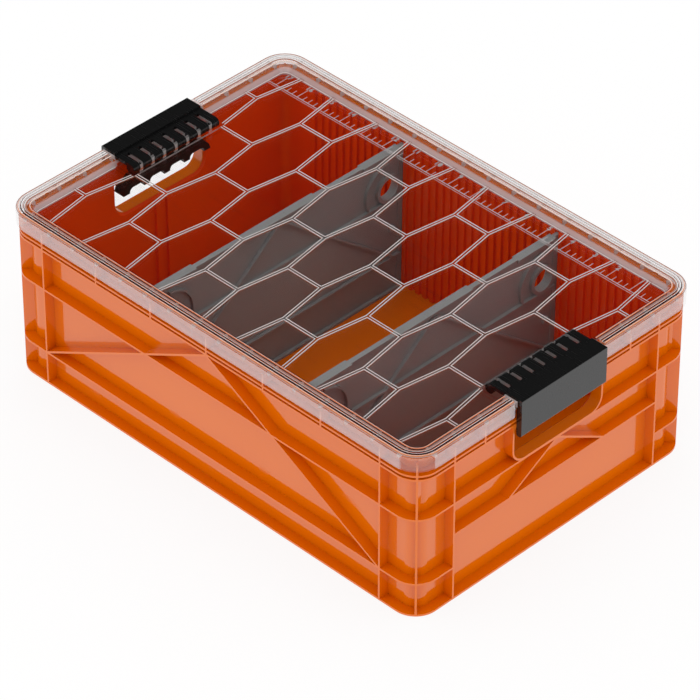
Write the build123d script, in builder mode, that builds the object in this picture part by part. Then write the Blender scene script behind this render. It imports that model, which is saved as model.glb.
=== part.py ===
from build123d import *
from math import atan2, degrees, hypot, radians, tan
import os

os.makedirs("parts", exist_ok=True)

# Lengths in millimetres. The crate stands on Z = 0 with its middle over the origin,
# its long sides run along X, and its two carrying ends face -X and +X.

# How far a cut runs past the solid that it cuts, and how near a found edge lies
over = 1.0
near = 0.4

# Crate: a thin tub inside a cage of ribs that all end on one upright envelope
crate_length = 471.0
crate_width = 319.0
crate_height = 157.5
corner_radius = 22.0
corner_x = crate_length / 2 - corner_radius
corner_y = crate_width / 2 - corner_radius
draft = 0.6
wall = 2.7
floor = 3.0
rib_depth = 9.6
rib = 1.8

# Heights of the crate's level ribs and flanges
low_rib = 33.0
end_rib = 66.7
waist_rib = 98.5
latch_flange = 138.0
skirt_flange = 142.0
rim_flange = 155.0
rim_reach = 5.0

# Upright ribs and the short tabs of the collar under the rim
side_ribs = [-194.5, 194.5]
end_ribs = [-117.5, 117.5]
side_tabs = [-129.5, -64.8, 0.0, 64.8, 129.5]
end_tabs = [-83.5, 83.5]
vee_foot = 55.0

# Hand hole in each end wall
hole_width = 100.8
hole_bottom = 100.1
hole_top = 134.5
hole_corner = 12.2
hole_ease = 2.4

# Rows of upright slots that hold the dividers
slot_pitch = 25.4 / 3
slot_rib_half = slot_pitch / 4
end_rib_place = 0.75 * slot_pitch
slot_depth = 2.6
slot_rib_count = 22
slot_top = 152.0
end_slot_top = 94.0

# Clear lid: a skirt, a flat rim and a panel that nests in the crate
lid_length = 475.2
lid_width = 323.6
lid_corner = 24.0
skirt_bottom = 149.3
lid_top = 163.7
skirt = 1.8
lid_sheet = 1.8
panel_top = 155.0
panel_bottom = 153.0
panel_length = 441.4
panel_width = 289.8
panel_radius = 7.0
pan_radius = 8.0
pan_growth = 0.8
rim_slope = 21.3
rim_run = 3.4
rim_ease = 0.8
rim_gap = 0.2
seal_inset = 7.3
seal_wall = 1.7

# Webs under the lid's rim: a row on each long side and three on either side of a latch
web_pitch = 28.6
web_sets = 8
end_webs = (81.4, 110.0, 138.6)
web_reach = 12.4
web_inset = 0.6
web_thick = 1.4
web_top = lid_top - 1.0

# Raised hexagons on the lid panel
hex_rows = 49.1
hex_columns = 90.5
hex_edge = 18.8
hex_rib = 3.4
hex_height = 1.4
hex_sink = 0.2
hex_sets = 3

# Latches, hinged on the lid at each end and hooked under the latch flange
latch_width = 98.0
pin_x = 206.0
pin_z = 158.3
pin_radius = 1.5
barrel_radius = 4.5
tab_pitch = 13.2
tab_sets = 3
tab_counts = range(-tab_sets, tab_sets + 1)
tab_width = 3.6
tab_in = 202.6
tab_out = 218.4
tab_top = 162.0
tab_ease = 1.0
tab_sink = 0.5
finger_gap = 4.0
finger_slot_end = 219.8
finger_slot_length = 20.0
finger_slot_height = 12.0
finger_top = 162.8
finger_bottom = 159.8
strip_start = 224.5
strip_top = 164.8
strip_bottom = 162.2
strip_step = 2.0
plate_in = 235.9
plate_out = 241.3
plate_bottom = 128.3
plate_radius = 2.4
plate_top_radius = 0.8
latch_gap = 0.5
pin_clearance = 0.08
tab_clearance = 0.03
relief = 0.25
relief_height = 10.0

# Lid recess that the latch hinge sits in
recess_half = 50.2
recess_in = 200.5
recess_out = 221.5
recess_floor = 152.7
recess_sheet = 1.6
shelf_top = 159.3

# Dividers, dropped into a pair of slots
divider_slots = [-9.5, 11.5]
divider_top = 150.0
divider_bottom = 3.3
web_sheet = 2.0
tongue_sheet = 3.4
ring_y = 126.0
ring_z = 114.0
ring_radius = 13.7
bend_radius = 27.0
bend_side = 23.7
divider_play = 0.4
tongue_reach = 7.0
rib_end = 140.5
divider_rib = 101.0
divider_low_rib = 39.5
divider_rib_width = 8.0
divider_foot = 2.4
boss_wall = 3.2
brace_drop = 4.0
brace_end = 132.0
stop_y = 131.0
stop_z = 69.0
stop_length = 6.0
stop_height = 5.0
flange_sheet = 2.5
flange_waist = 4.6
waist_start = 42.0
waist_end = 96.0

# Finger grips clipped to the hand holes
grip_in = 214.3
grip_out = 226.0
grip_step = 222.9
grip_half = 50.0
grip_top_half = 40.0
grip_bottom = 125.8
grip_top = 140.6
grip_shoulder = 1.5
grip_shoulder_rise = 5.0
grip_radius = 4.0
grip_gap = 0.2
rebate = 20.0
notch_width = 16.5
notch_rise = 4.8
notch_corner = 4.0
finger_notches = (-34.5, -11.5, 11.5, 34.5)


def inside_at(height):
    # half length and half width of the drafted hollow at a height
    inset = rib_depth + wall + (crate_height - height) * tan(radians(draft))
    return crate_length / 2 - inset, crate_width / 2 - inset


def rounded(half_x, half_y, radius):
    # rounded rectangle from its half sizes, drawn in the open sketch
    return RectangleRounded(2 * half_x, 2 * half_y, radius)


def bar(start, end, width):
    # straight rib between two points, drawn in the open sketch
    middle = ((start[0] + end[0]) / 2, (start[1] + end[1]) / 2)
    run = hypot(end[0] - start[0], end[1] - start[1])
    turn = degrees(atan2(end[1] - start[1], end[0] - start[0]))
    with Locations(middle):
        return Rectangle(run, width, rotation=turn)


# The whole rib cage is drawn as slabs through the crate, then kept only in the thin
# ring between the tub wall and the envelope, so every rib ends on the same face.
with BuildPart() as cage:
    for height in [0.0, low_rib - rib / 2, waist_rib - rib / 2, latch_flange, skirt_flange]:
        with BuildSketch(Plane.XY.offset(height)):
            rounded(crate_length / 2, crate_width / 2, corner_radius)
        extrude(amount=rib)
    # the low rib stops at the upright ribs of the end walls
    with Locations((0, 0, low_rib)):
        Box(crate_length + 2 * over, 2 * end_ribs[1], rib + 2 * near, mode=Mode.SUBTRACT)
    # upright ribs on the long sides, the chevron between them, and the collar tabs
    with BuildSketch(Plane.XZ):
        for x in side_ribs:
            bar((x, 0), (x, rim_flange), rib)
            bar((0, latch_flange), (x, low_rib), rib)
        for x in side_tabs:
            bar((x, latch_flange), (x, rim_flange), rib)
    extrude(amount=crate_width / 2 + over, both=True)
    # the same on the carrying ends, where two ribs slope down from the hand hole
    with BuildSketch(Plane.YZ):
        for y in end_ribs:
            bar((y, 0), (y, rim_flange), rib)
        for y in end_tabs:
            bar((y, latch_flange), (y, rim_flange), rib)
        bar((end_ribs[0], end_rib), (end_ribs[1], end_rib), rib)
        bar((0, waist_rib), (-vee_foot, end_rib), rib)
        bar((0, waist_rib), (vee_foot, end_rib), rib)
    extrude(amount=crate_length / 2 + over, both=True)
    # block that becomes the frame round the hand hole
    with BuildSketch(Plane.YZ) as hole_frame:
        with Locations((0, (hole_bottom - rib + latch_flange) / 2)):
            Rectangle(hole_width + 2 * rib, latch_flange - hole_bottom + rib)
        fillet(hole_frame.vertices().sort_by(Axis.Y)[:2], hole_corner + rib)
    extrude(amount=crate_length / 2 + over, both=True)
    # one rib across each rounded corner, on the diagonal of the corner arc
    for sx, sy in [(1, 1), (-1, 1), (-1, -1), (1, -1)]:
        turn = degrees(atan2(sy, sx))
        with Locations(Location((sx * corner_x, sy * corner_y, rim_flange / 2), (0, 0, turn))):
            Box(2 * (corner_radius + 2 * over), rib, rim_flange)
    # keep only the ring outside the tub
    with BuildSketch():
        rounded(crate_length / 2, crate_width / 2, corner_radius)
        inset = rib_depth + over
        RectangleRounded(crate_length - 2 * inset, crate_width - 2 * inset, corner_radius - inset,
                         mode=Mode.SUBTRACT)
    extrude(amount=crate_height, mode=Mode.INTERSECT)

with BuildPart() as crate_body:
    # upright outer walls
    with BuildSketch():
        rounded(crate_length / 2 - rib_depth, crate_width / 2 - rib_depth, corner_radius - rib_depth)
    extrude(amount=crate_height)
    add(cage.part)
    # outward flange round the mouth
    with BuildSketch(Plane.XY.offset(rim_flange)):
        inset = rib_depth - rim_reach
        rounded(crate_length / 2 - inset, crate_width / 2 - inset, corner_radius - inset)
    extrude(amount=crate_height - rim_flange)
    # the hollow, drafted so that the moulding leaves its core
    with BuildSketch(Plane.XY.offset(floor)):
        half_x, half_y = inside_at(floor)
        rounded(half_x, half_y, half_x - corner_x)
    extrude(amount=crate_height - floor, taper=-draft, mode=Mode.SUBTRACT)
    # ribs that leave a row of divider slots down the inside of each long wall
    inner_low = inside_at(floor)[1]
    inner_high = inside_at(slot_top)[1]
    slot_planes = [Plane.YZ.offset(slot_pitch * count)
                   for count in range(-slot_rib_count, slot_rib_count + 1)]
    with BuildSketch(*slot_planes):
        with BuildLine():
            Polyline((inner_low + over, floor - over), (inner_low - slot_depth, floor - over),
                     (inner_high - slot_depth, slot_top), (inner_high + over, slot_top), close=True)
        make_face()
        mirror(about=Plane.YZ)
    extrude(amount=slot_rib_half, both=True)
    # two low ribs leave one slot in the middle of each end wall, under the hand hole
    end_low = inside_at(floor)[0]
    end_high = inside_at(end_slot_top)[0]
    with BuildSketch(Plane.XZ.offset(end_rib_place), Plane.XZ.offset(-end_rib_place)):
        with BuildLine():
            Polyline((end_low + over, floor - over), (end_low - slot_depth, floor - over),
                     (end_high - slot_depth, end_slot_top), (end_high + over, end_slot_top),
                     close=True)
        make_face()
        mirror(about=Plane.YZ)
    extrude(amount=slot_rib_half, both=True)
    # hand holes through both ends
    with BuildSketch(Plane.YZ) as hand_hole:
        with Locations((0, (hole_bottom + hole_top) / 2)):
            Rectangle(hole_width, hole_top - hole_bottom)
        fillet(hand_hole.vertices().sort_by(Axis.Y)[:2], hole_corner)
    extrude(amount=crate_length / 2 + over, both=True, mode=Mode.SUBTRACT)
    # ease the lower inner edge of each hole, where the fingers rest
    for side in (-1, 1):
        inner_x = side * inside_at(hole_bottom)[0]
        inner_edges = crate_body.edges().filter_by_position(Axis.X, inner_x - near, inner_x + near)
        chamfer(inner_edges.filter_by_position(Axis.Z, hole_bottom - near, hole_top - over), hole_ease)

with BuildPart() as lid_hollow:
    # space between the skirt and the nested pan, open downwards
    with BuildSketch(Plane.XY.offset(skirt_bottom)):
        rounded(lid_length / 2 - skirt, lid_width / 2 - skirt, lid_corner - skirt)
    extrude(amount=lid_top - lid_sheet - skirt_bottom)
    with BuildSketch(Plane.XY.offset(panel_bottom)):
        RectangleRounded(panel_length + pan_growth, panel_width + pan_growth, pan_radius)
    extrude(amount=lid_top - panel_bottom, taper=-rim_slope, mode=Mode.SUBTRACT)

with BuildPart() as lid:
    with BuildSketch(Plane.XY.offset(skirt_bottom)):
        rounded(lid_length / 2, lid_width / 2, lid_corner)
    extrude(amount=lid_top - skirt_bottom)
    chamfer(lid.edges().group_by(Axis.Z)[-1], rim_ease)
    # pan with sloping sides down to the panel
    with BuildSketch(Plane.XY.offset(panel_top)):
        RectangleRounded(panel_length, panel_width, panel_radius)
    extrude(amount=lid_top - panel_top + over, taper=-rim_slope, mode=Mode.SUBTRACT)
    add(lid_hollow.part, mode=Mode.SUBTRACT)
    # upright wall inside the rim that stands on the crate's mouth
    with BuildSketch(Plane.XY.offset(crate_height + rim_gap)):
        rounded(lid_length / 2 - seal_inset, lid_width / 2 - seal_inset, lid_corner - seal_inset)
        inset = seal_inset + seal_wall
        RectangleRounded(lid_length - 2 * inset, lid_width - 2 * inset, lid_corner - inset,
                         mode=Mode.SUBTRACT)
    extrude(amount=lid_top - lid_sheet - crate_height)
    # webs under the rim
    web_height = web_top - crate_height - rim_gap
    web_z = web_top - web_height / 2
    web_x = lid_length / 2 - web_inset - web_reach / 2
    web_y = lid_width / 2 - web_inset - web_reach / 2
    for side in (-1, 1):
        for count in range(-web_sets, web_sets):
            with Locations((web_pitch * (count + 0.5), side * web_y, web_z)):
                Box(web_thick, web_reach, web_height)
        for y in end_webs:
            with Locations((side * web_x, y, web_z), (side * web_x, -y, web_z)):
                Box(web_reach, web_thick, web_height)
    # hexagons standing on the panel
    with BuildSketch(Plane.XY.offset(panel_top - hex_sink)):
        for row in range(-hex_sets, hex_sets + 1):
            y = row * hex_rows
            shift = 0.5 if row % 2 == 0 else 0.0
            for column in range(-hex_sets, hex_sets):
                x = hex_columns * (column + shift)
                if abs(row) < hex_sets:
                    bar((x - hex_edge, y), (x + hex_edge, y), hex_rib)
                if row < hex_sets:
                    bar((x - hex_edge, y), (x - hex_columns / 2 + hex_edge, y + hex_rows), hex_rib)
                    bar((x + hex_edge, y), (x + hex_columns / 2 - hex_edge, y + hex_rows), hex_rib)
        RectangleRounded(panel_length + over, panel_width + over, panel_radius, mode=Mode.INTERSECT)
    extrude(amount=hex_sink + hex_height)
    # clear both ends for the latches, then build up the hinge recess
    cut_in = recess_in - lid_sheet
    cut_out = lid_length / 2 + over
    for side in (-1, 1):
        with Locations((side * (cut_in + cut_out) / 2, 0, lid_top)):
            Box(cut_out - cut_in, 2 * (recess_half + lid_sheet), 2 * (lid_top - skirt_bottom + over),
                mode=Mode.SUBTRACT)
        with BuildSketch(Plane.XZ.offset(-recess_half - lid_sheet)):
            with BuildLine():
                Polyline((side * cut_in, panel_top),
                         (side * cut_in, recess_floor - recess_sheet),
                         (side * (recess_out + recess_sheet), recess_floor - recess_sheet),
                         (side * (recess_out + recess_sheet), shelf_top - recess_sheet),
                         (side * lid_length / 2, shelf_top - recess_sheet),
                         (side * lid_length / 2, lid_top),
                         (side * (panel_length / 2 + rim_run), lid_top),
                         (side * panel_length / 2, panel_top), close=True)
            make_face()
        extrude(amount=2 * (recess_half + lid_sheet))
        with BuildSketch(Plane.XZ.offset(-recess_half)):
            with BuildLine():
                Polyline((side * recess_in, lid_top + over), (side * recess_in, recess_floor),
                         (side * recess_out, recess_floor), (side * recess_out, shelf_top),
                         (side * (plate_in - latch_gap), shelf_top),
                         (side * (plate_in - latch_gap), shelf_top - recess_sheet - over),
                         (side * lid_length, shelf_top - recess_sheet - over),
                         (side * lid_length, lid_top + over), close=True)
            make_face()
        extrude(amount=2 * recess_half, mode=Mode.SUBTRACT)
        # clear hinge tabs between the latch fingers
        with BuildSketch(*[Plane.XZ.offset(tab_pitch * count) for count in tab_counts]):
            with BuildLine():
                Polyline((side * tab_in, recess_floor - tab_sink),
                         (side * tab_out, recess_floor - tab_sink),
                         (side * tab_out, tab_top - tab_ease), (side * (tab_out - tab_ease), tab_top),
                         (side * (tab_in + tab_ease), tab_top), (side * tab_in, tab_top - tab_ease),
                         close=True)
            make_face()
        extrude(amount=tab_width / 2, both=True)
        # the outer tabs hold the pin in a bore, and the inner ones are open at the top
        for count in tab_counts:
            with BuildSketch(Plane.XZ.offset(tab_pitch * count)):
                if abs(count) == tab_sets:
                    with Locations((side * pin_x, pin_z)):
                        Circle(pin_radius + tab_clearance)
                else:
                    with Locations((side * pin_x, pin_z - pin_radius - relief + relief_height / 2)):
                        Rectangle(2 * (pin_radius + relief), relief_height)
            extrude(amount=tab_width / 2, both=True, mode=Mode.SUBTRACT)


def latch(side):
    # latch plate with its finger hinge, for the end that faces the given way
    with BuildPart() as piece:
        with BuildSketch(Plane.XZ.offset(-latch_width / 2)):
            with BuildLine():
                Polyline((side * pin_x, finger_top), (side * strip_start, finger_top),
                         (side * strip_start, strip_top), (side * plate_out, strip_top),
                         (side * plate_out, plate_bottom), (side * plate_in, plate_bottom),
                         (side * plate_in, strip_bottom),
                         (side * (strip_start + strip_step), strip_bottom),
                         (side * (strip_start + strip_step), finger_bottom),
                         (side * pin_x, finger_bottom), close=True)
            make_face()
            with Locations((side * pin_x, pin_z)):
                Circle(barrel_radius)
        extrude(amount=latch_width)
        # rounded lower edge that is gripped to pull the latch open
        low_edges = piece.edges().filter_by(Axis.Y).group_by(Axis.Z)[0]
        fillet(low_edges, plate_radius)
        face_edges = piece.edges().filter_by(Axis.Y).filter_by_position(
            Axis.X, side * plate_out - near, side * plate_out + near)
        fillet(face_edges.sort_by(Axis.Z)[-1], plate_top_radius)
        # gaps for the clear tabs of the lid
        for count in tab_counts:
            with Locations((side * (finger_slot_end - finger_slot_length / 2), tab_pitch * count, pin_z)):
                Box(finger_slot_length, finger_gap, finger_slot_height, mode=Mode.SUBTRACT)
        # the outer fingers turn on the pin in a bore, and the inner ones are open below
        for end in (-1, 1):
            with BuildSketch(Plane.XZ.offset(end * latch_width / 2)):
                with Locations((side * pin_x, pin_z)):
                    Circle(pin_radius + pin_clearance)
            extrude(amount=-end * (latch_width / 2 - tab_sets * tab_pitch), mode=Mode.SUBTRACT)
        with Locations((side * pin_x, 0, pin_z + pin_radius + relief - relief_height / 2)):
            Box(2 * (pin_radius + relief), 2 * tab_sets * tab_pitch, relief_height,
                mode=Mode.SUBTRACT)
    return piece.part


def hinge_pin(side):
    # plain rod through the fingers and tabs
    with BuildPart() as piece:
        with BuildSketch(Plane.XZ.offset(-latch_width / 2)):
            with Locations((side * pin_x, pin_z)):
                Circle(pin_radius)
        extrude(amount=latch_width)
    return piece.part


def handle_grip(side):
    # finger grip that hooks over the upper edge of the hand hole
    with BuildPart() as piece:
        with BuildSketch(Plane.YZ.offset(side * grip_in)) as outline:
            with BuildLine():
                Polyline((0, grip_bottom), (grip_half, grip_bottom),
                         (grip_half - grip_shoulder, grip_bottom + grip_shoulder_rise),
                         (grip_top_half, grip_top), (0, grip_top), close=True)
            make_face()
            mirror(about=Plane.YZ)
            fillet(outline.vertices().sort_by(Axis.Y)[-2:], grip_radius)
        extrude(amount=side * (grip_out - grip_in))
        # the wall of the crate stands in this rebate
        with Locations((side * (grip_step + rebate / 2), 0, hole_top - grip_gap + rebate / 2)):
            Box(rebate, 2 * (grip_half + over), rebate, mode=Mode.SUBTRACT)
        # four finger notches
        with BuildSketch(Plane.YZ.offset(side * (grip_in - over))):
            for y in finger_notches:
                with Locations((y, grip_bottom)):
                    RectangleRounded(notch_width, 2 * notch_rise, notch_corner)
        extrude(amount=side * (grip_out - grip_in + 2 * over), mode=Mode.SUBTRACT)
    return piece.part


def divider(x):
    # cross wall of a web, a truss of shallow ribs and a thin tongue at each end
    end_low = inside_at(divider_bottom)[1] - divider_play
    end_high = inside_at(divider_top)[1] - divider_play
    with BuildPart() as piece:
        with BuildSketch(Plane.YZ.offset(x)):
            with BuildLine():
                Polyline((-end_low, divider_bottom), (end_low, divider_bottom),
                         (end_high, divider_top), (-end_high, divider_top), close=True)
            make_face()
        extrude(amount=web_sheet / 2, both=True)
        # tongues that run down the slots
        with BuildSketch(Plane.YZ.offset(x)):
            with BuildLine():
                Polyline((end_low - tongue_reach, divider_bottom), (end_low, divider_bottom),
                         (end_high, divider_top), (end_high - tongue_reach, divider_top), close=True)
            make_face()
            mirror(about=Plane.YZ)
        extrude(amount=tongue_sheet / 2, both=True)
        # ribs on both faces
        with BuildSketch(Plane.YZ.offset(x)):
            foot_z = divider_bottom + divider_foot / 2
            bar((-rib_end, divider_rib), (rib_end, divider_rib), web_sheet)
            bar((-rib_end, divider_low_rib), (rib_end, divider_low_rib), web_sheet)
            bar((-rib_end, foot_z), (rib_end, foot_z), divider_foot)
            for end in (-1, 1):
                bar((0, divider_top - brace_drop), (end * brace_end, divider_low_rib), web_sheet)
                with Locations((end * stop_y, stop_z)):
                    Rectangle(stop_length, stop_height)
                # a boss near each end
                with Locations((end * ring_y, ring_z)):
                    Circle(ring_radius)
        extrude(amount=divider_rib_width / 2, both=True)
        # a rib bent round the inner side of each boss
        with BuildSketch(Plane.YZ.offset(x)):
            for end in (-1, 1):
                with BuildLine():
                    outer = ThreePointArc((end * ring_y, ring_z + bend_radius),
                                          (end * (ring_y - bend_radius), ring_z),
                                          (end * (ring_y - bend_side), divider_rib))
                    inner = ThreePointArc((end * ring_y, ring_z + bend_radius - web_sheet),
                                          (end * (ring_y - bend_radius + web_sheet), ring_z),
                                          (end * (ring_y - bend_side + web_sheet), divider_rib))
                    Line(outer @ 0, inner @ 0)
                    Line(outer @ 1, inner @ 1)
                make_face()
        extrude(amount=divider_rib_width / 2, both=True)
        # top flange, waisted between the middle and the ends
        with BuildSketch(Plane.XY.offset(divider_top - flange_sheet)):
            with Locations((x, 0)):
                Rectangle(flange_waist, 2 * rib_end)
                Rectangle(divider_rib_width, 2 * waist_start)
            for end in (-1, 1):
                with Locations((x, end * (waist_end + rib_end) / 2)):
                    Rectangle(divider_rib_width, rib_end - waist_end)
        extrude(amount=flange_sheet)
        # finger holes through the bosses
        with BuildSketch(Plane.YZ.offset(x)):
            for end in (-1, 1):
                with Locations((end * ring_y, ring_z)):
                    Circle(ring_radius - boss_wall)
        extrude(amount=divider_rib_width, both=True, mode=Mode.SUBTRACT)
    return piece.part


crate_body.part.label = "crate_body"
export_step(crate_body.part, "parts/crate_body.step")
lid.part.label = "lid"
export_step(lid.part, "parts/lid.step")
for name, make, places in [("latch", latch, (-1, 1)), ("latch_pin", hinge_pin, (-1, 1)),
                           ("handle_grip", handle_grip, (-1, 1)),
                           ("divider", divider, [slot_pitch * count for count in divider_slots])]:
    for hand, place in zip(("left", "right"), places):
        solid = make(place)
        solid.label = name + "_" + hand
        export_step(solid, "parts/" + name + "_" + hand + ".step")
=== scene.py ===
# %% [markdown]
# # A lidded storage crate
#
# The crate's shapes come from its CAD model: an orange ribbed tub, a clear lid, two
# black latches on their pins, two finger grips and two grey dividers. This file loads
# those shapes, gives each one the plastic it is made of, adds the fine raised beads
# and the moulded ruler on the lid, and sets up the plain white studio around it.
# The model is loaded first, before anything is added.

# %% Load the model
import math

import bmesh
import bpy
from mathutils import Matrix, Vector


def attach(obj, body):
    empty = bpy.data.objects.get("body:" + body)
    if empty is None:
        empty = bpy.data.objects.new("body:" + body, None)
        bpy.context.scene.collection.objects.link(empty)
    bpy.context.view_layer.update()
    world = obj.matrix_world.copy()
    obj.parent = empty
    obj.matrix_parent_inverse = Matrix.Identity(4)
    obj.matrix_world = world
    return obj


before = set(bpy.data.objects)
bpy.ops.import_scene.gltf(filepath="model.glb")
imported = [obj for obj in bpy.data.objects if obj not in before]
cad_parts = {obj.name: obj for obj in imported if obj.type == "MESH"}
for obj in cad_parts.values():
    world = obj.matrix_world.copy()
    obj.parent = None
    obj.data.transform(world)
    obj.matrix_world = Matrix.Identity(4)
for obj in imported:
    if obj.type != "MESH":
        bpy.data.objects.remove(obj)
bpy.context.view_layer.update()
print("nodes:", sorted(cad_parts))

# %% [markdown]
# ## Writing shader maths as expressions
#
# A material is a graph of nodes. Drawn by hand it is easy to read, but built in a
# script it soon becomes a long list of links. A small class that wraps one socket
# lets a sum or a product of sockets be written as Python writes it, and adds the
# Math nodes behind it. One method makes every other kind of node.

# %% A socket that can be added and multiplied
class Signal:
    """One output socket of a node tree."""

    def __init__(self, tree, socket):
        self.tree = tree
        self.socket = socket

    def node(self, kind, settings=None, values=None, output=0):
        """Adds a node of any kind to the same tree and returns one of its outputs."""
        new = self.tree.nodes.new(kind)
        for name, setting in (settings or {}).items():
            setattr(new, name, setting)
        for name, value in (values or {}).items():
            if isinstance(value, Signal):
                self.tree.links.new(value.socket, new.inputs[name])
            else:
                new.inputs[name].default_value = value
        return Signal(self.tree, new.outputs[output])

    def maths(self, operation, first, second):
        """A Math node between two signals or numbers."""
        return self.node("ShaderNodeMath", {"operation": operation}, {0: first, 1: second})

    def __add__(self, other):
        return self.maths("ADD", self, other)

    def __radd__(self, other):
        return self.maths("ADD", other, self)

    def __sub__(self, other):
        return self.maths("SUBTRACT", self, other)

    def __rsub__(self, other):
        return self.maths("SUBTRACT", other, self)

    def __mul__(self, other):
        return self.maths("MULTIPLY", self, other)

    def __rmul__(self, other):
        return self.maths("MULTIPLY", other, self)

    def __pow__(self, other):
        return self.maths("POWER", self, other)

    def __gt__(self, other):
        return self.maths("GREATER_THAN", self, other)

    def __lt__(self, other):
        return self.maths("LESS_THAN", self, other)

    def __abs__(self):
        return self.maths("ABSOLUTE", self, 0.0)

    def larger(self, other):
        """The larger of this signal and another."""
        return self.maths("MAXIMUM", self, other)

    def part(self, axis):
        """One axis of a vector signal."""
        return self.node("ShaderNodeSeparateXYZ", None, {"Vector": self}, output=axis)

    def blend(self, colour_a, colour_b):
        """Mixes two colours, with this signal as the share of the second."""
        values = {0: self, 6: colour_a, 7: colour_b}
        return self.node("ShaderNodeMix", {"data_type": "RGBA"}, values, output=2)


print("a signal has:", [name for name in vars(Signal) if not name.startswith("_")])

# %% [markdown]
# Colours are easiest to judge as they appear on a screen, from 0 to 255, but the
# renderer counts light, so each colour is turned into linear values first.

# %% Screen colours to light
def light(red, green, blue):
    """A screen colour as linear red, green, blue and full opacity."""
    parts = [channel / 255 for channel in (red, green, blue)]
    linear = []
    for part in parts:
        linear.append(part / 12.92 if part <= 0.04045 else ((part + 0.055) / 1.055) ** 2.4)
    return (*linear, 1.0)


print("half way up the screen scale:", round(light(128, 128, 128)[0], 3), "of full light")

# %% [markdown]
# ## Helpers that every material needs
#
# No plastic is perfectly even, and a picture of one could be wrapped round each
# piece. Noise is simpler: it needs no unwrapping and has no seams. It reads object
# coordinates, which are in metres, so a pattern has one real size on every piece.
# Stretched noise gives streaks, as rubbing and scratching leave them.

# %% Material helpers
MILLIMETRE = 0.001


def new_material(name):
    """An empty material, its node tree and a signal that holds object coordinates."""
    material = bpy.data.materials.new(name)
    material.use_nodes = True
    tree = material.node_tree
    tree.nodes.clear()
    place = tree.nodes.new("ShaderNodeTexCoord")
    return material, tree, Signal(tree, place.outputs["Object"])


def finish_material(tree, shader):
    """Joins a shader to the material's surface."""
    surface = tree.nodes.new("ShaderNodeOutputMaterial")
    tree.links.new(shader.socket, surface.inputs["Surface"])


def noise(place, scale, detail):
    """Cloudy noise, with its scale in clouds to the metre."""
    values = {"Vector": place, "Scale": scale, "Detail": detail}
    return place.node("ShaderNodeTexNoise", None, values)


def streaks(place, scale, turn=0.0):
    """Noise that is stretched into streaks, with a scale for each axis."""
    values = {"Vector": place, "Rotation": (0.0, 0.0, turn), "Scale": scale}
    return noise(place.node("ShaderNodeMapping", None, values), 1.0, 1.0)


print("one millimetre is", MILLIMETRE, "metres")

# %% [markdown]
# ## A starting point for moulded plastic
#
# Every piece here is injection moulded, so they share one recipe: a Principled
# shader with an even colour, a faint change of gloss where the melt flowed, and a
# grain so fine that it shows only where light glances off it. Thin streaks, where
# the piece was rubbed, are a little duller. Gloss is set by roughness, which varies,
# and by the refractive index, which doesn't, so that one is a plain number.

# %% Moulded plastic
FLOW_SCALE = 9.0
FLOW_LEAST = 0.8
FLOW_RANGE = 0.4
GRAIN_SCALE = 900.0
GRAIN_DEPTH = 0.1 * MILLIMETRE
GRAIN_DULL = 0.02
RUB_SCALE = (30.0, 900.0, 90.0)
RUB_LEVEL = 0.66
RUB_DULL = 0.1


def moulded(name, colour, shade, roughness, grain, index=1.5, specular=0.5, paint_shade=None):
    """Plastic that drifts between two close colours, with its own gloss and grain."""
    material, tree, place = new_material(name)
    flow = noise(place, FLOW_SCALE, 2.0)
    fine = noise(place, GRAIN_SCALE, 2.0)
    rubbed = streaks(place, RUB_SCALE) > RUB_LEVEL
    skin = flow.blend(colour, shade)
    # A painted shade, when one is given, is laid over the skin colour here.
    if paint_shade:
        skin = paint_shade(place, skin)
    dull = roughness * (FLOW_LEAST + FLOW_RANGE * flow)
    values = {
        "Base Color": skin,
        "Roughness": dull + GRAIN_DULL * fine + RUB_DULL * rubbed,
        "IOR": index,
        "Specular IOR Level": specular,
    }
    if grain:
        depth = {"Height": fine, "Strength": grain, "Distance": GRAIN_DEPTH}
        values["Normal"] = place.node("ShaderNodeBump", None, depth)
    finish_material(tree, place.node("ShaderNodeBsdfPrincipled", None, values))
    return material


def dress(node, material):
    """Gives a CAD node its new material."""
    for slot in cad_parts[node].material_slots:
        slot.material = material
    print(node, "wears", material.name)


print("grain is about", round(1 / GRAIN_SCALE / MILLIMETRE, 1), "millimetres across")

# %% [markdown]
# ## The orange crate
#
# The crate is glossy, so its upright walls mirror the white table. That mirror is
# what turns them pale salmon in the photograph while the ledges, which face up to
# the dark ceiling, stay pure orange. No paint is needed for the difference: one
# smooth orange with a high index does both. Inside the tub the light bounces from
# orange to orange and comes back red, far redder than a few traced bounces make it,
# so the inner faces get a deeper shade, chosen by where they are and not by the view.
# The border between the two shades runs hidden inside the wall, as a rectangle with
# rounded corners, and just above the floor, which keeps the paler orange.

# %% Crate
CORNER_X = 213.5 * MILLIMETRE
CORNER_Y = 137.5 * MILLIMETRE
MID_WALL = 11.1 * MILLIMETRE
FLOOR_TOP = 3.2 * MILLIMETRE
# Painted shade: this deeper orange stands in for light bounced from orange wall to orange wall
# inside the tub.
PAINTED_BOUNCE_ORANGE = light(250, 74, 0)


def inner_shade(place, skin):
    """Swaps the skin colour for a painted deeper shade, standing in for light bounced between
    orange walls, inside the middle of the tub's wall.
    """
    past_x = (abs(place.part(0)) - CORNER_X).larger(0.0)
    past_y = (abs(place.part(1)) - CORNER_Y).larger(0.0)
    inside = (past_x * past_x + past_y * past_y) < MID_WALL**2
    return (inside * (place.part(2) > FLOOR_TOP)).blend(skin, PAINTED_BOUNCE_ORANGE)


crate_orange = moulded("orange_crate_plastic", light(232, 113, 0), light(228, 107, 0),
                       roughness=0.07, grain=0.02, index=1.6, specular=0.6, paint_shade=inner_shade)
dress("crate_body", crate_orange)

# %% [markdown]
# ## Latches, pins and grips
#
# The black pieces have a satin, slightly pebbled finish, so they get the grain that
# the crate nearly lacks. The pins are smooth rods of the same black.

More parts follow.
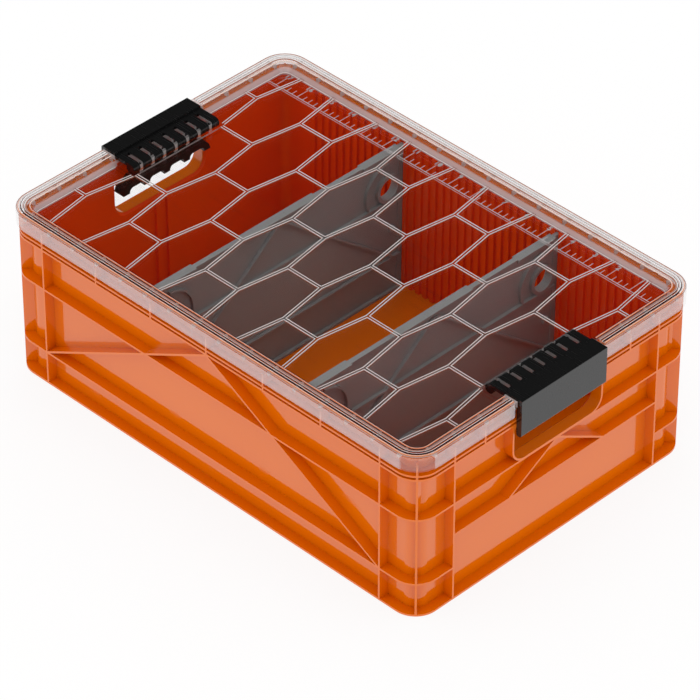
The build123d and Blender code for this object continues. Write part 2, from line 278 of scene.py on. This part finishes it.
# %% Black pieces
latch_black = moulded("black_latch_plastic", light(20, 20, 20), light(14, 14, 14),
                      roughness=0.18, grain=0.08, index=1.6)
grip_black = moulded("black_grip_plastic", light(24, 25, 25), light(18, 18, 18),
                     roughness=0.32, grain=0.12)
pin_black = moulded("black_pin_plastic", light(22, 22, 22), light(18, 18, 18),
                    roughness=0.25, grain=0.0)
for side in ("left", "right"):
    dress("latch_" + side, latch_black)
    dress("latch_pin_" + side, pin_black)
    dress("handle_grip_" + side, grip_black)

# %% [markdown]
# ## Grey dividers
#
# The dividers are a mid grey. Inside the crate they are lit by orange walls, which
# is why they look brown in the photograph, so the grey itself stays neutral.

# %% Dividers
divider_grey = moulded("grey_divider_plastic", light(146, 148, 147), light(138, 140, 139),
                       roughness=0.3, grain=0.05)
for side in ("left", "right"):
    dress("divider_" + side, divider_grey)

# %% [markdown]
# ## Where painted glow and shade go on the clear lid
#
# Light that is caught inside a clear sheet runs along it and leaves where the shape
# ends, so the sides of ribs, the webs under the rim and the hinge tabs glow. The
# border that slopes down to the panel is pale on the lower half of its upper side,
# and dark underneath. Tracing those paths is slow, so the places are found from the
# lid's own sizes and from the way each face points, and the material paints that
# glow and that shade there.

# %% Places on the lid
RIB_LEVELS = (155.1 * MILLIMETRE, 156.7 * MILLIMETRE)
WEB_X = 221.0 * MILLIMETRE
WEB_Y = 146.0 * MILLIMETRE
TAB_X = (200.0 * MILLIMETRE, 220.0 * MILLIMETRE)
TAB_Y = 50.0 * MILLIMETRE
TAB_Z = 153.5 * MILLIMETRE
SKIRT_X = 237.2 * MILLIMETRE
SKIRT_Y = 161.4 * MILLIMETRE
SLOPE_MIDDLE = 159.6 * MILLIMETRE
SLOPE_TILT = (0.3, 0.45)
UNDER_TILT = (-0.45, -0.3)
RIB_UPRIGHT = 0.98
TAB_UPRIGHT = 0.9
SQUARE_ON = 0.95


def between(signal, limits):
    """1 where a signal lies between two limits, and 0 elsewhere."""
    return (signal > limits[0]) * (signal < limits[1])


def lid_places(place, normal, upright):
    """A mask for each place on the lid, 1 there and 0 elsewhere."""
    across, along, level = (abs(place.part(axis)) for axis in range(3))
    tilt = normal.part(2)
    in_panel = (across < TAB_X[1]) * (along < WEB_Y)
    long_webs = (along > WEB_Y) * (abs(normal.part(0)) > SQUARE_ON)
    end_webs = (across > WEB_X) * (abs(normal.part(1)) > SQUARE_ON)
    near_tabs = between(across, TAB_X) * (along < TAB_Y) * (level > TAB_Z)
    return {
        "ribs": between(level, RIB_LEVELS) * (upright > RIB_UPRIGHT) * in_panel,
        "webs": (long_webs + end_webs) * (level > RIB_LEVELS[1]),
        "tabs": near_tabs * (upright > TAB_UPRIGHT),
        "slope": between(tilt, SLOPE_TILT) * (level < SLOPE_MIDDLE),
        "under": between(tilt, UNDER_TILT),
        "skirt": (across > SKIRT_X).larger(along > SKIRT_Y),
    }


print("lid ribs lie between", RIB_LEVELS[0], "and", RIB_LEVELS[1], "metres up")

# %% [markdown]
# A clear lid that has been handled carries fine scratches. They are streaks of
# noise, stretched a hundredfold one way and kept only at their peaks, and a second,
# broad noise gathers them into a few worn places.

# %% Scratches
SCRATCH_SCALE = (14.0, 1300.0, 1.0)
SCRATCH_TURN = 0.5
SCRATCH_LEVEL = 0.69
WORN_SCALE = 7.0
WORN_LEVEL = 0.5


def scratches(place):
    """Thin bright streaks, in patches, for the top of the lid."""
    streak = streaks(place, SCRATCH_SCALE, SCRATCH_TURN) > SCRATCH_LEVEL
    return streak * (noise(place, WORN_SCALE, 0.0) > WORN_LEVEL)


print("scratches are stretched", round(SCRATCH_SCALE[1] / SCRATCH_SCALE[0]), "times")

# %% [markdown]
# ## Clear plastic
#
# A thin clear sheet hardly bends what lies behind it, but it still reflects, and
# more so where it is seen edge-on. A true glass shader would also cut off the lamp
# and leave the crate dark inside. So the clear pieces mix a see-through shader with
# a glossy one. The share of gloss follows Schlick's rule: a few per cent face on,
# rising with the fifth power towards the edge. The Fresnel node isn't used, because
# on the far side of each sheet it would turn the clear plastic into a mirror.
# Where the plastic glows, a third, milky shader paints that glow in over the first
# two. Its tint, the colour of the painted glow, can be one colour on faces that point
# out, away from the crate's middle, and another on faces that point in.

# %% Clear plastic
SEE_THROUGH = (0.98, 0.975, 0.975, 1.0)
SHEEN = light(242, 238, 238)
SHEET_FLOW = 14.0
# Painted light: a pale painted glow, a salmon painted glow for the sides of ribs, a dark painted
# shade for the underside of the folded border, and how much of each place is painted with them.
GLOW_WHITE = light(250, 247, 246)
RIB_GLOW = light(214, 128, 92)
FOLD_SHADE = light(60, 26, 18)
GLOW = {"ribs": 0.4, "webs": 0.65, "tabs": 0.3, "slope": 0.28, "under": 0.35}
UNDER_DULL = 0.8
SKIRT_GLINT = 0.27
SCRATCH_GLINT = 0.14
SCHLICK_POWER = 5
SHEEN_ROUGH = 0.03
SHEEN_DRIFT = 0.05
GLOW_ROUGH = 0.2
GLOW_DRIFT = 0.1
GLOW_SPECULAR = 0.25


def clear_plastic(name, haze, glint, glow_amount=0.0, outer=GLOW_WHITE, inner=GLOW_WHITE, whole_lid=False):
    """Clear moulded sheet: see-through face on, glossy at a glance, with a painted glow mixed in
    where asked.
    """
    material, tree, place = new_material(name)
    flow = noise(place, SHEET_FLOW, 1.0)
    facing = place.node("ShaderNodeLayerWeight", None, {"Blend": 0.5}, output="Facing")
    normal = place.node("ShaderNodeTexCoord", None, None, output="Normal")
    upright = 1.0 - normal.part(2) * normal.part(2)
    share = haze + (1.0 - haze) * facing**SCHLICK_POWER + glint * upright
    # The share of painted glow, the same everywhere unless the whole lid is asked for.
    glow_share = glow_amount
    outward = normal.part(0) * place.part(0) + normal.part(1) * place.part(1)
    tint = (outward > 0.0).blend(inner, outer)
    # On the lid the glow is painted by place: salmon on rib sides, pale on webs, tabs and the
    # slope, and a dark painted shade, with less gloss, under the folded border.
    if whole_lid:
        places = lid_places(place, normal, upright)
        share = share * (1.0 - UNDER_DULL * places["under"])
        share = share + SKIRT_GLINT * places["skirt"] * upright
        share = share + SCRATCH_GLINT * scratches(place)
        glow_share = sum(GLOW[part] * places[part] for part in GLOW)
        tint = places["under"].blend(places["ribs"].blend(GLOW_WHITE, RIB_GLOW), FOLD_SHADE)
    through = place.node("ShaderNodeBsdfTransparent", None, {"Color": SEE_THROUGH})
    values = {"Base Color": SHEEN, "Metallic": 1.0, "Roughness": SHEEN_ROUGH + SHEEN_DRIFT * flow}
    gloss = place.node("ShaderNodeBsdfPrincipled", None, values)
    clear = place.node("ShaderNodeMixShader", None, {0: share, 1: through, 2: gloss})
    values = {"Base Color": tint, "Roughness": GLOW_ROUGH + GLOW_DRIFT * flow,
              "Specular IOR Level": GLOW_SPECULAR}
    glow_shader = place.node("ShaderNodeBsdfPrincipled", None, values)
    finish_material(tree, place.node("ShaderNodeMixShader", None, {0: glow_share, 1: clear, 2: glow_shader}))
    return material


lid_clear = clear_plastic("clear_lid_plastic", haze=0.03, glint=0.06, whole_lid=True)
dress("lid", lid_clear)
# Painted glow: the beads are 60 per cent, and the ruler's marks and numbers 34 per cent, a pale
# milky shader that stands in for the light they catch.
bead_clear = clear_plastic("clear_bead_plastic", haze=0.4, glint=0.4, glow_amount=0.6)
mark_clear = clear_plastic("clear_mark_plastic", haze=0.1, glint=0.1, glow_amount=0.34)

# %% [markdown]
# ## Beads on the lid
#
# Each hexagon on the lid is outlined by its own rounded bead, so a rib between two
# hexagons carries a pair of beads with a dark groove between them. Beads also run
# round the rim. They could be drawn as bumps in the material, but a real strip keeps
# its edge when seen close. A bead is a half-round strip swept along a path: at every
# point of the path the half circle is set across it, and at a corner it is stretched
# along the mitre so that the strip keeps its width.

# %% A half-round bead along a path
ARC_STEPS = 6
HALF_ROUND = [(math.cos(math.pi * step / ARC_STEPS), math.sin(math.pi * step / ARC_STEPS))
              for step in range(ARC_STEPS + 1)]


def sideways(path, closed):
    """The direction across a path at each of its points, longer at corners."""
    sides = []
    for index, point in enumerate(path):
        runs = []
        if closed or index > 0:
            runs.append((point - path[index - 1]).normalized())
        if closed or index < len(path) - 1:
            runs.append((path[(index + 1) % len(path)] - point).normalized())
        normals = [Vector((-run.y, run.x)) for run in runs]
        sides.append((normals[0] + normals[-1]) / (1 + normals[0].dot(normals[-1])))
    return sides


def add_bead(mesh, path, closed, half_width, rise, level):
    """Sweeps the half round along a path of flat points in millimetres."""
    rows = []
    for point, side in zip(path, sideways(path, closed)):
        row = []
        for across, up in HALF_ROUND:
            place = point + side * (across * half_width)
            row.append(mesh.verts.new(Vector((place.x, place.y, level + up * rise)) * MILLIMETRE))
        rows.append(row)
    followers = rows[1:] + rows[:1] if closed else rows[1:]
    for here, there in zip(rows, followers):
        for corner in range(len(here)):
            after = (corner + 1) % len(here)
            mesh.faces.new((here[corner], here[after], there[after], there[corner]))
    if not closed:
        mesh.faces.new(rows[0])
        mesh.faces.new(rows[-1])


print("a bead is", len(HALF_ROUND), "points across")

# %% [markdown]
# The strips are made longer than they should be and then trimmed to the lid with
# flat cuts, as a moulding tool's beads end where the panel ends. Every cut is
# closed again, so each bead stays a solid strip. Each finished piece rides on the
# lid, so it moves wherever the lid moves.

# %% Cutting and finishing a lid piece
PANEL_X = 220.0
PANEL_Y = 144.2
RECESS_X = 198.4
RECESS_Y = 52.4


def slice_mesh(mesh, place, normal, drop=False):
    """Cuts a mesh by a plane, and drops the side that the normal points to if asked."""
    everything = mesh.verts[:] + mesh.edges[:] + mesh.faces[:]
    bmesh.ops.bisect_plane(mesh, geom=everything, plane_co=Vector(place) * MILLIMETRE,
                           plane_no=Vector(normal), clear_outer=drop)


def open_recesses(mesh):
    """Cuts away what lies over the two latch recesses."""
    for side in (-1, 1):
        slice_mesh(mesh, (side * RECESS_X, 0, 0), (side, 0, 0))
        slice_mesh(mesh, (0, side * RECESS_Y, 0), (0, side, 0))
    inside = []
    for face in mesh.faces:
        middle = face.calc_center_median() / MILLIMETRE
        if abs(middle.x) > RECESS_X and abs(middle.y) < RECESS_Y:
            inside.append(face)
    bmesh.ops.delete(mesh, geom=inside, context="FACES")


def lid_piece(name, mesh, material):
    """Closes a mesh and makes it a piece of the lid."""
    bmesh.ops.holes_fill(mesh, edges=[edge for edge in mesh.edges if edge.is_boundary])
    bmesh.ops.recalc_face_normals(mesh, faces=mesh.faces[:])
    data = bpy.data.meshes.new(name)
    mesh.to_mesh(data)
    mesh.free()
    data.materials.append(material)
    piece = bpy.data.objects.new(name, data)
    bpy.context.collection.objects.link(piece)
    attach(piece, "lid")
    print(name, "has", len(data.polygons), "faces")


print("the panel is", 2 * PANEL_X, "by", 2 * PANEL_Y, "millimetres")

# %% [markdown]
# The hexagons are long ones, nearly twice as deep as they are wide. Their rows are
# set half a step apart, like bricks, so one loop over rows and columns places them
# all. Each bead stands a little inside the outline that neighbours share.

# %% Hexagon beads
HEX_ROWS = 49.1
HEX_COLUMNS = 90.5
HEX_EDGE = 18.8
HEX_TOP = 156.35
HEX_REACH = 3
PANEL_TOP = 155.0
BEAD_INSET = 1.25
BEAD_HALF_WIDTH = 0.42
BEAD_RISE = 0.45
HEX_WAIST = HEX_COLUMNS / 2 - HEX_EDGE
OUTLINE = [(-HEX_EDGE, -HEX_ROWS), (HEX_EDGE, -HEX_ROWS), (HEX_WAIST, 0),
           (HEX_EDGE, HEX_ROWS), (-HEX_EDGE, HEX_ROWS), (-HEX_WAIST, 0)]

hexagons = bmesh.new()
for row in range(-HEX_REACH, HEX_REACH + 1):
    for column in range(-HEX_REACH, HEX_REACH + 1):
        middle = Vector((HEX_COLUMNS * (column + 0.5 * (row % 2)), HEX_ROWS * row))
        corners = [middle + Vector(corner) for corner in OUTLINE]
        inward = sideways(corners, True)
        ring = [corner + BEAD_INSET * side for corner, side in zip(corners, inward)]
        add_bead(hexagons, ring, True, BEAD_HALF_WIDTH, BEAD_RISE, HEX_TOP)
for side in (-1, 1):
    slice_mesh(hexagons, (side * PANEL_X, 0, 0), (side, 0, 0), drop=True)
    slice_mesh(hexagons, (0, side * PANEL_Y, 0), (0, side, 0), drop=True)
open_recesses(hexagons)
lid_piece("hexagon_beads", hexagons, bead_clear)

# %% [markdown]
# Round the rim the same bead runs as closed loops with rounded corners, all set in
# from the lid's outer edge. The clear rim is thick and folded, so it works like a
# prism: seen from outside it pipes the orange and the dark of the crate, and seen
# from inside it pipes the white of the room. That piped light is painted: each bead
# has two painted tints, one for the side that faces out and one for the side that
# faces in. One more bead, at the foot of the sloping border, carries the same pale
# painted glow as those of the hexagons.

# %% Rim beads
LID_HALF_X = 237.6
LID_HALF_Y = 161.8
LID_RADIUS = 24.0
SMALL_RADIUS = 7.0
CORNER_STEPS = 8
RIM_TOP = 163.6
RIM_HAZE = 0.05
RIM_GLINT = 0.1
# The rim beads are almost wholly painted glow.
RIM_GLOW_AMOUNT = 0.95
BORDER_INSET = 16.9
BORDER_HALF_WIDTH = 0.45
# Each rim bead: its name, inset and half width, then its painted glow tint on the side facing out
# and on the side facing in.
RIM_BEADS = [
    ("step", 11.7, 0.6, light(214, 122, 84), light(250, 228, 216)),
    ("ridge", 8.7, 0.55, light(186, 140, 128), light(176, 120, 96)),
    ("fold", 7.2, 0.58, light(64, 26, 18), light(252, 251, 250)),
    ("groove", 4.7, 0.85, light(54, 10, 4), light(252, 251, 251)),
    ("lip", 2.3, 0.7, light(232, 146, 98), light(250, 249, 248)),
    ("brim", 0.8, 0.35, light(196, 164, 156), light(150, 100, 86)),
]


def rounded_loop(half_x, half_y, radius):
    """The outline of a rounded rectangle as a list of flat points."""
    loop = []
    for quarter, (side_x, side_y) in enumerate([(1, 1), (-1, 1), (-1, -1), (1, -1)]):
        centre = Vector((side_x * (half_x - radius), side_y * (half_y - radius)))
        for step in range(CORNER_STEPS + 1):
            angle = math.pi / 2 * (quarter + step / CORNER_STEPS)
            loop.append(centre + radius * Vector((math.cos(angle), math.sin(angle))))
    return loop


def rim_bead(name, inset, half_width, level, material):
    """A bead round the rim, set in from the lid's outer edge."""
    radius = max(LID_RADIUS - inset, SMALL_RADIUS)
    loop = rounded_loop(LID_HALF_X - inset, LID_HALF_Y - inset, radius)
    rim = bmesh.new()
    add_bead(rim, loop, True, half_width, half_width, level)
    open_recesses(rim)
    lid_piece(name, rim, material)


rim_bead("border_bead", BORDER_INSET, BORDER_HALF_WIDTH, PANEL_TOP, bead_clear)
for part, inset, half_width, outer, inner in RIM_BEADS:
    plastic = clear_plastic("clear_" + part + "_plastic", RIM_HAZE, RIM_GLINT, RIM_GLOW_AMOUNT,
                            outer, inner)
    rim_bead(part + "_bead", inset, half_width, RIM_TOP, plastic)

# %% [markdown]
# ## The moulded ruler
#
# A ruler in inches is moulded into the panel along its far edge. The marks are low
# ridges of the same clear plastic, so they catch light instead of carrying ink; that
# caught light is a pale glow painted into their material. The inches count from the
# right-hand end, with three short marks between two long ones, over a pair of base lines.

# %% Ruler marks
INCH = 25.4
QUARTERS = 4
RULER_START = 220.5
RULER_END = 218.0
RULER_INCHES = 17
BASE_LINE = 124.9
LINE_GAP = 2.2
SHORT_MARK = 131.0
LONG_MARK = 138.2
MARK_HALF_WIDTH = 0.32
MARK_RISE = 0.3
LINE_RISE = 0.35
BOLD_HALF_WIDTH = 0.4
FINE_HALF_WIDTH = 0.2

marks = bmesh.new()
for quarter in range(1, QUARTERS * RULER_INCHES + 1):
    x = RULER_START - INCH * quarter / QUARTERS
    reach = LONG_MARK if quarter % QUARTERS == 0 else SHORT_MARK
    ends = [Vector((x, BASE_LINE)), Vector((x, reach))]
    add_bead(marks, ends, False, MARK_HALF_WIDTH, MARK_RISE, PANEL_TOP)
lines = [(BASE_LINE, BOLD_HALF_WIDTH), (BASE_LINE - LINE_GAP, FINE_HALF_WIDTH)]
for y, half_width in lines:
    ends = [Vector((-PANEL_X, y)), Vector((RULER_END, y))]
    add_bead(marks, ends, False, half_width, LINE_RISE, PANEL_TOP)
lid_piece("ruler_marks", marks, mark_clear)

# %% [markdown]
# The numbers are plain digits. A text object gives their outlines, which are turned
# into a mesh and sunk a little into the panel, so only a thin step stands up.

# %% Ruler numbers
NUMBER_HEIGHT = 5.4
NUMBER_FOOT = 138.4
NUMBER_STEP = 0.04
NUMBER_SWELL = 0.025

numbers = bmesh.new()
for inch in range(1, RULER_INCHES + 1):
    curve = bpy.data.curves.new("number", "FONT")
    curve.body = str(inch)
    curve.align_x = "CENTER"
    curve.extrude = NUMBER_STEP
    curve.offset = NUMBER_SWELL
    letter = bpy.data.objects.new("number", curve)
    bpy.context.collection.objects.link(letter)
    bpy.context.view_layer.update()
    scale = NUMBER_HEIGHT / letter.dimensions.y * MILLIMETRE
    shape = bpy.data.meshes.new_from_object(letter)
    foot = Vector((RULER_START - INCH * inch, NUMBER_FOOT, PANEL_TOP)) * MILLIMETRE
    for vertex in shape.vertices:
        vertex.co = vertex.co * scale + foot
    numbers.from_mesh(shape)
    bpy.data.objects.remove(letter)
    bpy.data.curves.remove(curve)
    bpy.data.meshes.remove(shape)
lid_piece("ruler_numbers", numbers, mark_clear)

# %% [markdown]
# ## The studio
#
# The photograph has a pure white background. The table and the far distance are
# white to the camera and to reflections, while the ceiling is dark to reflections,
# which is what keeps the black latch tops black. Diffuse light stays even.

# %% World
EVEN_LIGHT = 0.9
CEILING_LIGHT = 0.02
HORIZON = (0.1, 0.25)

world = bpy.data.worlds.new("white_studio")
bpy.context.scene.world = world
world.use_nodes = True
world.node_tree.nodes.clear()
ray = world.node_tree.nodes.new("ShaderNodeLightPath")
seen = Signal(world.node_tree, ray.outputs["Is Camera Ray"])
mirrored = Signal(world.node_tree, ray.outputs["Is Glossy Ray"])
direction = seen.node("ShaderNodeTexCoord", None, None, output="Generated")
values = {"Value": direction.part(2), "From Min": HORIZON[0], "From Max": HORIZON[1],
          "To Min": 1.0, "To Max": CEILING_LIGHT}
low = seen.node("ShaderNodeMapRange", {"interpolation_type": "SMOOTHSTEP"}, values)
strength = seen + (1.0 - seen) * (mirrored * low + (1.0 - mirrored) * EVEN_LIGHT)
sky = seen.node("ShaderNodeBackground", None, {"Color": (1, 1, 1, 1), "Strength": strength})
surface = world.node_tree.nodes.new("ShaderNodeOutputWorld")
world.node_tree.links.new(sky.socket, surface.inputs["Surface"])
print("world has", len(world.node_tree.nodes), "nodes")

# %% [markdown]
# The table is a wide white sheet. Most of it glows by itself, so that it stays white
# around the crate, and a small share of it is matt paper, so a soft shadow still shows.

# %% Table
TABLE_SIZE = 8.0
TABLE_GLOW = 0.85

bpy.ops.mesh.primitive_plane_add(size=TABLE_SIZE, location=(0, 0, 0))
table = bpy.context.object
table.name = "table"
white, tree, place = new_material("white_table")
paper = place.node("ShaderNodeBsdfDiffuse", None, {"Color": (1, 1, 1, 1)})
glow = place.node("ShaderNodeEmission", None, {"Color": (1, 1, 1, 1), "Strength": 1.0})
sheet = place.node("ShaderNodeMixShader", None, {0: TABLE_GLOW, 1: paper, 2: glow})
finish_material(tree, sheet)
table.data.materials.append(white)
print("table is", TABLE_SIZE, "metres wide")

# %% [markdown]
# One large soft lamp hangs over the crate. Its own mirror image is switched off, so
# that the tops of the latches and the panel stay as dark as the ceiling.

# %% Lamp
lamp_data = bpy.data.lights.new("soft_box", "AREA")
lamp_data.shape = "SQUARE"
lamp_data.size = 2.5
lamp_data.energy = 14.0
lamp_data.specular_factor = 0.0
lamp = bpy.data.objects.new("soft_box", lamp_data)
lamp.location = (0.2, -0.3, 3.0)
bpy.context.collection.objects.link(lamp)
print("lamp gives", lamp_data.energy, "watts")

# %% [markdown]
# ## The camera
#
# The crate is seen from 45 degrees to its right and 38 degrees above the table,
# from four metres away through a long lens, so its edges stay almost parallel.

# %% Camera
target = Vector((-0.04779, 0.05068, 0.0))
turn = math.radians(45.0)
rise = math.radians(38.21)
distance = 4.04534
offset = Vector((math.cos(rise) * math.sin(turn), -math.cos(rise) * math.cos(turn),
                 math.sin(rise)))
camera_data = bpy.data.cameras.new("camera")
camera_data.lens = 246.5
camera_data.sensor_width = 36.0
camera_data.clip_end = 50.0
camera = bpy.data.objects.new("camera", camera_data)
camera.location = target + distance * offset
camera.rotation_euler = (-offset).to_track_quat("-Z", "Y").to_euler()
bpy.context.collection.objects.link(camera)
bpy.context.scene.camera = camera
bpy.context.scene.view_settings.view_transform = "Standard"
print("camera at", [round(part, 3) for part in camera.location])

# %% [markdown]
